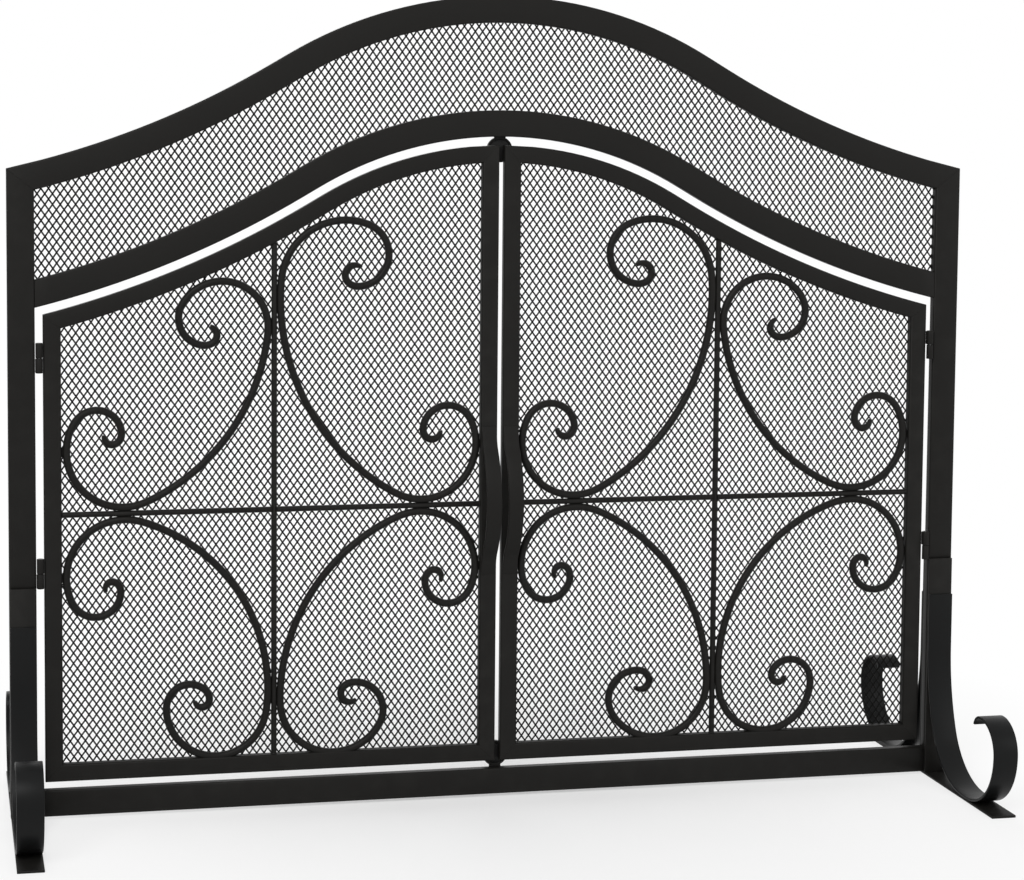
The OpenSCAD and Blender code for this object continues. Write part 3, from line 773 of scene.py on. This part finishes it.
def scroll_and_beads(name):
    """One of the left door's scrolls, as wide as its solid, and the weld beads where it touches."""
    heading, arcs = SCROLLS[name]
    upper, outer = name.startswith("upper"), name.endswith("outer")
    drawn = eased_line([(-r, turn) for r, turn in arcs], start_at(0, 0, heading))
    lo, hi = [[c / MM for c in corner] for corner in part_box(f"left_door_scroll_{name}")]
    k = (hi[X] - lo[X] - SCROLL_D) / (max(drawn)[0] - min(drawn)[0])
    line = [(x * k, z * k, h) for x, z, h in drawn]
    right = max(line)
    left = min(line)
    low = min(line, key=lambda q: q[1])
    high = max(line, key=lambda q: q[1])
    lift = BAR_Z + bar_side - low[1] if upper else BAR_Z - bar_side - high[1]
    way = 1 if outer else -1

    def placed(x, z, w):
        return (bar_x + way * (x - right[0] - bar_side), bar_y + w, z + lift)

    bar = circle(SCROLL_D + 2 * SCROLL_COAT, SCROLL_SIDES)
    scroll = sweep(line, bar, placed, SCROLL_END, TIP_TAPER, TIP_SHARE)
    base = low if upper else high
    contacts = (
        (right[0] + touch, right[1], Z),
        (left[0] - touch, left[1], Z),
        (base[0], base[1] + (-touch if upper else touch), X),
    )
    return scroll, [bead(placed(x, z, BEAD_FORWARD), axis) for x, z, axis in contacts]


def door_fittings(door, flip):
    """The door's bowed pull and its halves of the hinges."""
    half = (HANDLE_BOW_R + HANDLE_END_R) * math.sin(math.radians(HANDLE_TURN)) + HANDLE_PAD
    path = [(0, HANDLE_PAD), (HANDLE_END_R, HANDLE_TURN), (-HANDLE_BOW_R, 2 * HANDLE_TURN),
            (HANDLE_END_R, HANDLE_TURN), (0, HANDLE_PAD)]
    line = bend_line(path, start_at(front_y - HANDLE_T / 2, HANDLE_Z - half, 90))
    middle = -door_in - DOOR_FACE / 2

    def placed(y, z, w):
        rise = min(z - HANDLE_Z + half, HANDLE_Z + half - z) / HANDLE_TAPER
        thick = min(1, HANDLE_TIP + (1 - HANDLE_TIP) * max(0, rise))
        return (middle + w, front_y + (y - front_y) * thick, z)

    pull = sweep(line, rounded(HANDLE_T, HANDLE_W, HANDLE_ROUND), placed, HANDLE_END)
    piece(f"{door}_pull", [mirrored(pull, flip)], door, "handle_bar", coat, f"{door}_handle")
    knuckles = [part for z in hinge_zs for part in knuckle(z + barrel_half + BARREL_SPLIT, False, -1)]
    piece(f"{door}_knuckles", [mirrored(k, not flip) for k in knuckles], door, "hinge_barrel", coat,
          f"{door}_hinge_barrels")


def knuckle(z, closed_low, side):
    """Half a hinge barrel on the right hinge line, with the weld to the tube on its side, 1 or -1."""
    r, bore = BARREL_D / 2, PIN_D / 2 + PIN_PLAY
    rim = [(r - BARREL_ROUND, 0), (r - BARREL_EASE, BARREL_EASE), (r, BARREL_ROUND)]
    profile = rim + [(radius, barrel_half - height) for radius, height in rim[::-1]]
    profile += [(bore, barrel_half), (bore, BARREL_CAP)]
    if not closed_low:
        profile = [(radius, barrel_half - height) for radius, height in profile]
    web_ends = (hinge_x + side * (bore + WEB_INSET), hinge_x + side * (SIDE_GAP / 2 - WELD_GAP))
    near, far = sorted(web_ends)
    web_rear = hinge_y + r - BARREL_ROUND
    web = block((near, hinge_y, z + WEB_INSET), (far, web_rear, z + barrel_half - WEB_INSET), WEB_ROUND)
    return [lathe(profile, (hinge_x, hinge_y, z), Z, BARREL_SIDES), web]


def door_wires(door, flip):
    """The door's woven wire, which runs a little way into its tubes."""
    def inside(x, z):
        return (bay_left - WIRE_TUCK < x < bay_right + WIRE_TUCK and z > bay_low - WIRE_TUCK
                and z < door_inner_edge.z(x) + WIRE_TUCK)

    x_a, x_b = bay_left - WEAVE_W, bay_right + WEAVE_W
    part = woven_wires(inside, x_a, x_b, bay_low - WEAVE_H, door_inner_edge.z(bay_right) + WEAVE_H)
    piece(f"{door}_wires", [mirrored(part, flip)], door, "wire_mesh", wire_coat, f"{door}_mesh_panel")


def frame_tubes():
    """The frame's uprights, arches and sill."""
    foot = ((half_w, FOOT_T), (stile_in, FOOT_T))
    head = ((half_w, top_edge.z(half_w)), (stile_in, top_edge.inset(TUBE_FACE).z(stile_in)))
    stile = tube([foot, head], TUBE_DEPTH, TUBE_FACE)
    for side, flip in (("left", True), ("right", False)):
        piece(f"{side}_stile_tube", [mirrored(stile, flip)], "frame", "frame_tube", coat, f"{side}_stile")
    arches = (
        ("top_arch", top_edge, (half_w, stile_in)),
        ("lower_arch", lower_edge, (stile_in, stile_in)),
    )
    for name, edge, far in arches:
        part = tube(whole_arch(edge, TUBE_FACE, far), TUBE_DEPTH, TUBE_FACE)
        piece(f"{name}_tube", [part], "frame", "frame_tube", coat, f"{name}_rail")
    sill_ends = [((x, rail_top), (x, FOOT_T)) for x in (-stile_in, stile_in)]
    sill = tube(sill_ends, TUBE_DEPTH, TUBE_FACE)
    piece("bottom_tube", [sill], "frame", "frame_tube", coat, "bottom_rail")


def upper_wires():
    """The woven wire between the two arches."""
    ceiling = top_edge.inset(TUBE_FACE)

    def inside(x, z):
        return abs(x) < stile_in + WIRE_TUCK and lower_edge.z(x) - WIRE_TUCK < z < ceiling.z(x) + WIRE_TUCK

    part = woven_wires(inside, -half_w, half_w, lower_edge.z(stile_in) - WEAVE_H, ceiling.apex + WEAVE_H)
    piece("upper_wires", [part], "frame", "wire_mesh", wire_coat, "upper_mesh_panel")


def block_of(node, r, axis):
    """A rounded block that fills a CAD node's box."""
    lo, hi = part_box(node)
    return block([c / MM for c in lo], [c / MM for c in hi], r, axis)


def feet():
    """The four foot strips, their backing plates and the two base bars."""
    leave = math.radians(LEAVE_TURN)
    leave_z = LEAVE_R * math.sin(leave) + SOLE_R * (1 - math.sin(leave))
    mid = FOOT_T / 2
    path = [(0, STRIP_TOP - FOOT_T - leave_z), (mid - LEAVE_R, LEAVE_TURN), (mid - SOLE_R, 90 - LEAVE_TURN),
            (0, SOLE_LEN), (mid - RING_R, 90), (mid - HOOK_R, HOOK_TURN), (mid - TIP_R, TIP_TURN)]
    line = bend_line(path, start_at(strip_y + mid, STRIP_TOP, -90))
    section = rounded(FOOT_T, FOOT_W, FOOT_ROUND)
    strip = sweep(line, section, lambda y, z, w: (foot_x + w, y, z), FOOT_END)
    for side, flip in (("left", True), ("right", False)):
        for end, part in (("front", strip), ("rear", reversed_y(strip))):
            foot = f"{side}_{end}_foot"
            piece(f"{foot}_strip", [mirrored(part, flip)], "frame", "foot_bar", painted_shade_and_sheen_coat,
                  f"{foot}_scroll")
            piece(f"{foot}_backing", [block_of(f"{foot}_plate", FLAT_ROUND, Z)], "frame", "foot_bar", coat,
                  f"{foot}_plate")
        piece(f"{side}_foot_bar", [block_of(f"{side}_foot_base", FLAT_ROUND, Y)], "frame", "foot_bar", coat,
              f"{side}_foot_base")


def fasteners():
    """The heads of the foot screws and of the catch rivets."""
    r = SCREW_HEAD_D / 2
    head = [(r * share, height) for share, height in SCREW_DOME]
    socket = SCREW_HEX / 2
    head += [(socket, SCREW_HEAD_H, HEXAGON), (socket, SCREW_HEAD_H - SCREW_HEX_DEEP, HEXAGON)]
    screws = [lathe(head, (side * foot_x, -strip_y, z), Y) for side in (-1, 1) for z in screw_zs]
    piece("foot_screw_heads", screws, "frame", "fastener", painted_shade_and_sheen_coat, "foot_screws")
    r = RIVET_HEAD_D / 2
    dome = [(r * share, height) for share, height in RIVET_DOME]
    rise = (CUP_D + TAB_LEN) / 2
    rivet_zs = (upper_cup_z + rise, lower_cup_z - rise)
    rivets = [lathe(dome, (0, rear_y + TAB_T, z), Y, RIVET_SIDES) for z in rivet_zs]
    piece("rivet_heads", rivets, "frame", "fastener", painted_shade_and_sheen_coat, "catch_rivets")


def catches():
    """The two round magnetic catches, each a cup with a tab round a disc."""
    r, bore = CUP_D / 2, MAGNET_D / 2 + MAGNET_PLAY
    cup = [(r - inward, CUP_H - down) for inward, down in CUP_SHOULDER]
    cup += [(r - inward, up) for inward, up in CUP_RIM]
    cup += [(bore + CUP_MOUTH, 0), (bore, CUP_MOUTH), (bore, MAGNET_H)]
    disc = [(MAGNET_D / 2 - inward, up) for inward, up in MAGNET_RIM] + [(MAGNET_D / 2, MAGNET_H)]
    for name, z, side in (("upper", upper_cup_z, 1), ("lower", lower_cup_z, -1)):
        low, high = sorted((z + side * (r - TAB_OVERLAP), z + side * (r + TAB_LEN)))
        tab = block((-TAB_W / 2, rear_y, low), (TAB_W / 2, rear_y + TAB_T, high), TAB_ROUND)
        shell = [lathe(cup, (0, rear_y, z), Y, CUP_SIDES), tab]
        piece(f"{name}_catch_shell", shell, "frame", "catch", coat, f"{name}_catch_cup")
        magnet = lathe(disc, (0, rear_y, z), Y, MAGNET_SIDES)
        piece(f"{name}_magnet_disc", [magnet], "frame", "magnet", ferrite, f"{name}_catch_magnet")


def frame_hinges():
    """The frame's halves of the hinges, and steel for the CAD pins."""
    knuckles = [part for z in hinge_zs for part in knuckle(z, True, 1)]
    for side, flip in (("left", True), ("right", False)):
        halves = [mirrored(k, flip) for k in knuckles]
        piece(f"{side}_frame_knuckles", halves, "frame", "hinge_barrel", coat, f"{side}_frame_hinge_barrels")
        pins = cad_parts[f"{side}_hinge_pins"]
        if not pins.material_slots:
            pins.data.materials.append(pin_steel)
        for slot in pins.material_slots:
            slot.material = pin_steel


frame_tubes()
upper_wires()
feet()
fasteners()
catches()
frame_hinges()
for door, flip in (("left_door", False), ("right_door", True)):
    door_tubes(door, flip)
    door_bars(door, flip)
    door_fittings(door, flip)
    door_wires(door, flip)


def seen_rays(nodes, links):
    """1 for camera, glossy and transmission rays, and 0 for the rest."""
    rays = nodes.new("ShaderNodeLightPath").outputs
    seen = rays["Is Camera Ray"]
    for ray in ("Is Glossy Ray", "Is Transmission Ray"):
        node = nodes.new("ShaderNodeMath")
        node.operation = "MAXIMUM"
        links.new(seen, node.inputs[0])
        links.new(rays[ray], node.inputs[1])
        seen = node.outputs[0]
    return seen


def studio():
    """A white world, a pale floor that turns white away from the gate, and three soft lamps."""
    world = bpy.data.worlds.new("studio")
    bpy.context.scene.world = world
    world.use_nodes = True
    nodes, links = world.node_tree.nodes, world.node_tree.links
    background = nodes["Background"]
    background.inputs["Color"].default_value = (1, 1, 1, 1)
    strength = ranged(nodes, links, seen_rays(nodes, links), 0, 1, WORLD_ON_OBJECT, 1)
    links.new(strength, background.inputs["Strength"])

    material = bpy.data.materials.new("pale_floor")
    material.use_nodes = True
    nodes, links = material.node_tree.nodes, material.node_tree.links
    shader = nodes["Principled BSDF"]
    shader.inputs["Roughness"].default_value = FLOOR_ROUGHNESS
    shader.inputs["Specular IOR Level"].default_value = 0.0
    coords = nodes.new("ShaderNodeTexCoord").outputs["Object"]
    length = nodes.new("ShaderNodeVectorMath")
    length.operation = "LENGTH"
    links.new(coords, length.inputs[0])
    fade = ranged(nodes, links, length.outputs["Value"], FADE_FROM, FADE_TO, FADE_LEAST, 1)
    cloud = ranged(nodes, links, noise(nodes, links, coords, FLOOR_CLOUD_SCALE), *FLOOR_CLOUD_SPAN, 0, 1)
    tone = mixed(nodes, links, cloud, (FLOOR_GREY,) * 3, (FLOOR_GREY * FLOOR_LIGHTEST,) * 3)
    links.new(tone, shader.inputs["Base Color"])
    white = nodes.new("ShaderNodeEmission")
    white.inputs["Strength"].default_value = 1
    both = nodes.new("ShaderNodeMixShader")
    share = nodes.new("ShaderNodeMath")
    share.operation = "MULTIPLY"
    links.new(fade, share.inputs[0])
    links.new(seen_rays(nodes, links), share.inputs[1])
    links.new(share.outputs[0], both.inputs["Fac"])
    links.new(shader.outputs[0], both.inputs[1])
    links.new(white.outputs[0], both.inputs[2])
    links.new(both.outputs[0], nodes["Material Output"].inputs["Surface"])
    h = FLOOR_SIZE / 2
    mesh = bpy.data.meshes.new("floor")
    mesh.from_pydata([(-h, -h, 0), (h, -h, 0), (h, h, 0), (-h, h, 0)], [], [(0, 1, 2, 3)])
    mesh.materials.append(material)
    floor = bpy.data.objects.new("floor", mesh)
    bpy.context.scene.collection.objects.link(floor)

    for name, place, size, power in LAMPS:
        lamp = bpy.data.lights.new(name, "AREA")
        lamp.shape = "DISK"
        lamp.size = size
        lamp.energy = power
        obj = bpy.data.objects.new(name, lamp)
        obj.location = place
        aim = Vector((0, 0, FRAME_H / 2 * MM)) - Vector(place)
        obj.rotation_euler = aim.to_track_quat("-Z", "Y").to_euler()
        bpy.context.scene.collection.objects.link(obj)


def photograph_camera():
    """A camera at the photograph's place and viewing angle."""
    data = bpy.data.cameras.new("camera")
    data.sensor_width = SENSOR_W
    data.lens = FOCAL_PX / IMAGE_W * SENSOR_W
    data.shift_x = (IMAGE_W / 2 - PRINCIPAL[0]) / IMAGE_W
    data.shift_y = (PRINCIPAL[1] - IMAGE_H / 2) / IMAGE_W
    camera = bpy.data.objects.new("camera", data)
    camera.location = CAMERA_PLACE
    level = Vector((math.sin(CAMERA_YAW), math.cos(CAMERA_YAW), 0)) * math.cos(CAMERA_PITCH)
    ahead = level + Vector((0, 0, math.sin(CAMERA_PITCH)))
    right = Vector((math.cos(CAMERA_YAW), -math.sin(CAMERA_YAW), 0))
    up = right.cross(ahead)
    rolled_right = math.cos(CAMERA_ROLL) * right + math.sin(CAMERA_ROLL) * up
    rolled_up = math.cos(CAMERA_ROLL) * up - math.sin(CAMERA_ROLL) * right
    turn = Matrix((rolled_right, rolled_up, -ahead)).transposed()
    camera.rotation_euler = turn.to_euler()
    bpy.context.scene.collection.objects.link(camera)
    bpy.context.scene.camera = camera


studio()
photograph_camera()
bpy.context.scene.view_settings.view_transform = "Standard"
